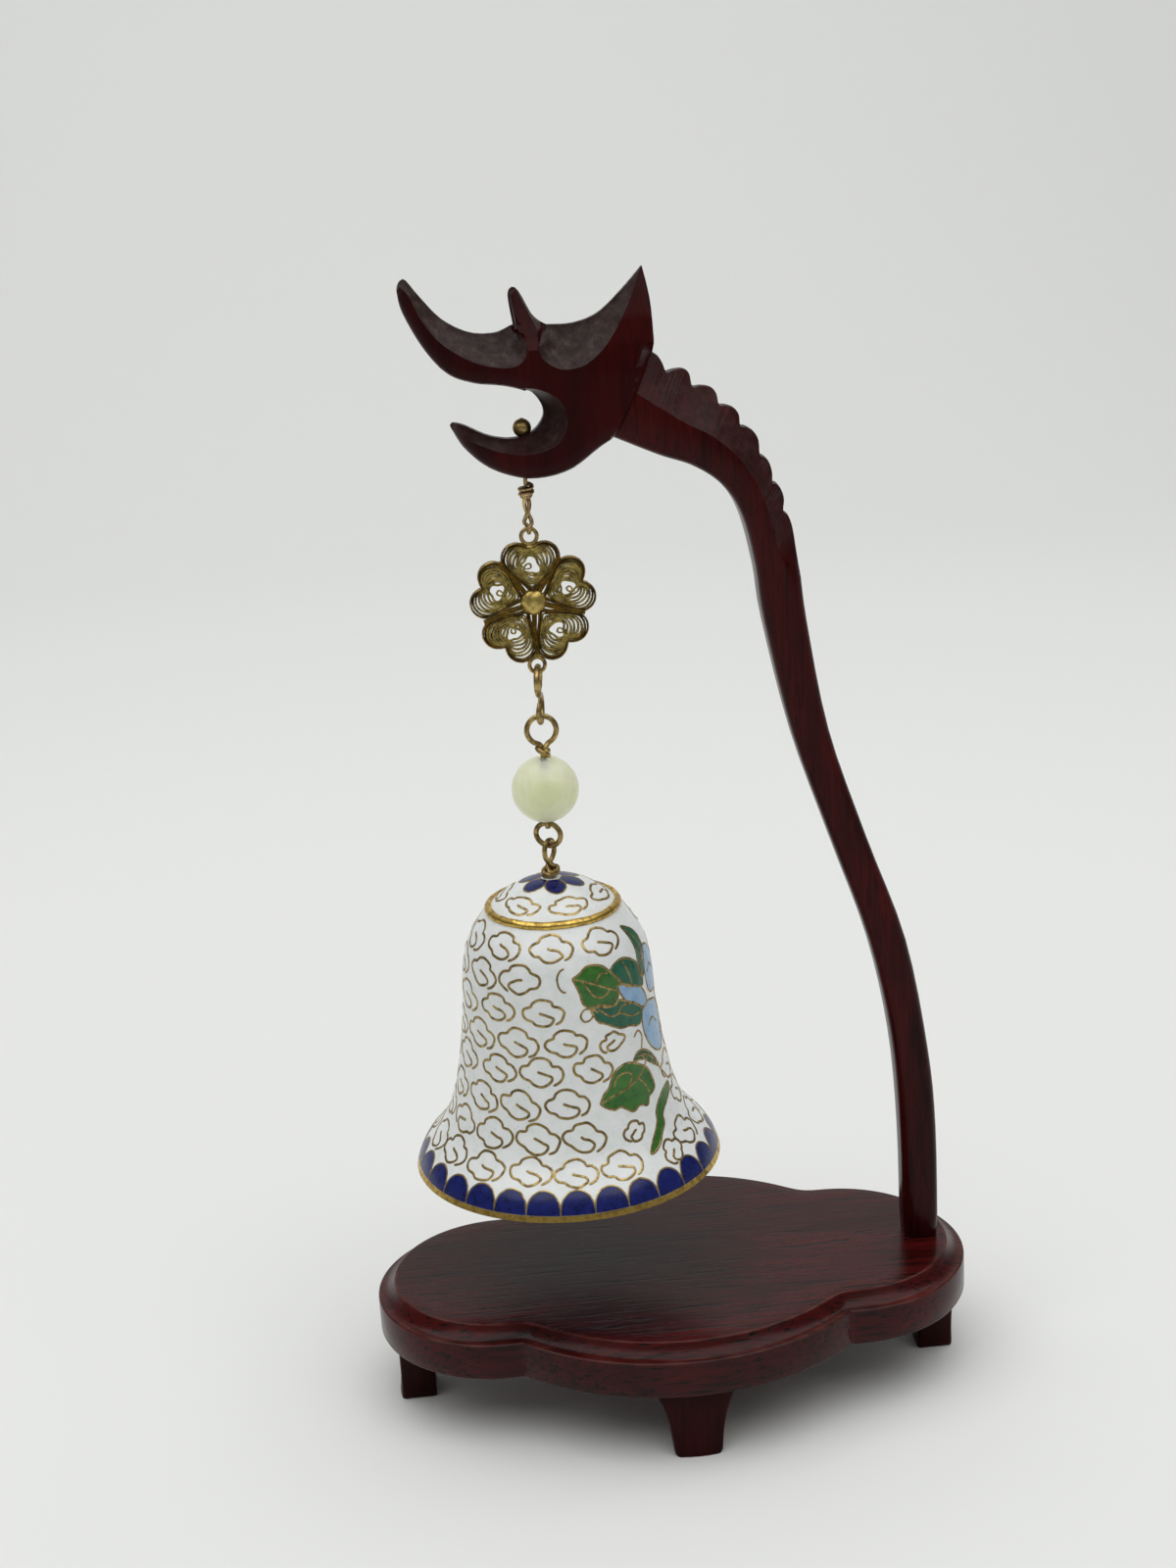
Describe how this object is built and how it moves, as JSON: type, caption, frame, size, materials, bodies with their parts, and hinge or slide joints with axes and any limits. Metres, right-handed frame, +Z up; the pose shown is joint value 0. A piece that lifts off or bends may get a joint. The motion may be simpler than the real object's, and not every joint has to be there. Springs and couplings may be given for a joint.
{
  "type": "hanging bell on a dragon stand",
  "caption": "Small enamelled metal bell with a clapper, hung by a wire chain with a filigree flower and a stone bead from a carved wooden dragon-neck stand on a lobed, footed base.",
  "frame": {"origin": "centre of the base's footprint at floor level", "axes": "+X along the base towards the post, +Z up, the flower's flat faces look along Y"},
  "size_m": [0.103, 0.065, 0.1916],
  "materials": {
    "lacquered_wood": "dark red-brown lacquered rosewood, semi-gloss, fine grain",
    "aged_brass": "tarnished brass wire, satin",
    "gilt_brass": "gilt brass, semi-gloss",
    "copper": "copper sheet, satin",
    "jade": "pale green polished stone, faintly translucent",
    "white_enamel": "glossy white vitreous enamel with fine pits",
    "blue_enamel": "glossy cobalt blue vitreous enamel",
    "inside_enamel": "thin blue counter enamel",
    "green_enamel": "glossy green vitreous enamel",
    "light_blue_enamel": "glossy light blue vitreous enamel"
  },
  "bodies": {
    "stand": {"base_plate": "lacquered_wood", "foot_front": "lacquered_wood", "foot_back": "lacquered_wood", "foot_left": "lacquered_wood", "foot_right": "lacquered_wood", "neck_post": "lacquered_wood", "dragon_head": "lacquered_wood"},
    "hook": {"stop_bead": "aged_brass", "hook_wire": "aged_brass"},
    "flower": {"flower_petals": "aged_brass", "flower_filigree": "aged_brass", "flower_boss": "aged_brass", "flower_top_ring": "aged_brass", "flower_bottom_ring": "aged_brass"},
    "link": {"s_link": "aged_brass"},
    "bead_wire": {"bead_wire": "aged_brass"},
    "jade": {"jade_bead": "jade"},
    "bell_wire": {"bell_wire": "aged_brass"},
    "bell": {"bell_shell": "copper", "body_enamel": "white_enamel", "dome_enamel": "white_enamel", "crown_enamel": "blue_enamel", "rim_enamel": "blue_enamel", "inner_enamel": "inside_enamel", "shoulder_band": "gilt_brass", "rim_band": "gilt_brass"},
    "clapper": {"clapper_wire": "aged_brass", "clapper_ball": "aged_brass"}
  },
  "joints": [
    {"name": "hook_spin", "type": "hinge", "parent": "stand", "child": "hook", "pos_m": [-0.0168, 0, 0.162], "axis": [0, 0, 1], "continuous": true},
    {"name": "flower_swing", "type": "hinge", "parent": "hook", "child": "flower", "pos_m": [-0.0168, 0, 0.15098], "axis": [0, 1, 0], "range_deg": [-14, 30]},
    {"name": "link_swing", "type": "hinge", "parent": "flower", "child": "link", "pos_m": [-0.0168, 0, 0.12815], "axis": [-1, 0, 0], "range_deg": [-20, 20]},
    {"name": "bead_swing", "type": "hinge", "parent": "link", "child": "bead_wire", "pos_m": [-0.0168, 0, 0.11982], "axis": [0, -1, 0], "range_deg": [-25, 14]},
    {"name": "bead_spin", "type": "hinge", "parent": "bead_wire", "child": "jade", "pos_m": [-0.0168, 0, 0.1084], "axis": [0, 0, 1], "continuous": true},
    {"name": "bell_swing", "type": "hinge", "parent": "bead_wire", "child": "bell_wire", "pos_m": [-0.0168, 0, 0.09855], "axis": [0.8192, -0.5736, 0], "range_deg": [-20, 20]},
    {"name": "bell_spin", "type": "hinge", "parent": "bell_wire", "child": "bell", "pos_m": [-0.0168, 0, 0.0925], "axis": [0, 0, 1], "continuous": true},
    {"name": "clapper_swing", "type": "hinge", "parent": "bell_wire", "child": "clapper", "pos_m": [-0.0168, 0, 0.08753], "axis": [0.5736, 0.8192, 0], "range_deg": [-21, 21]}
  ]
}
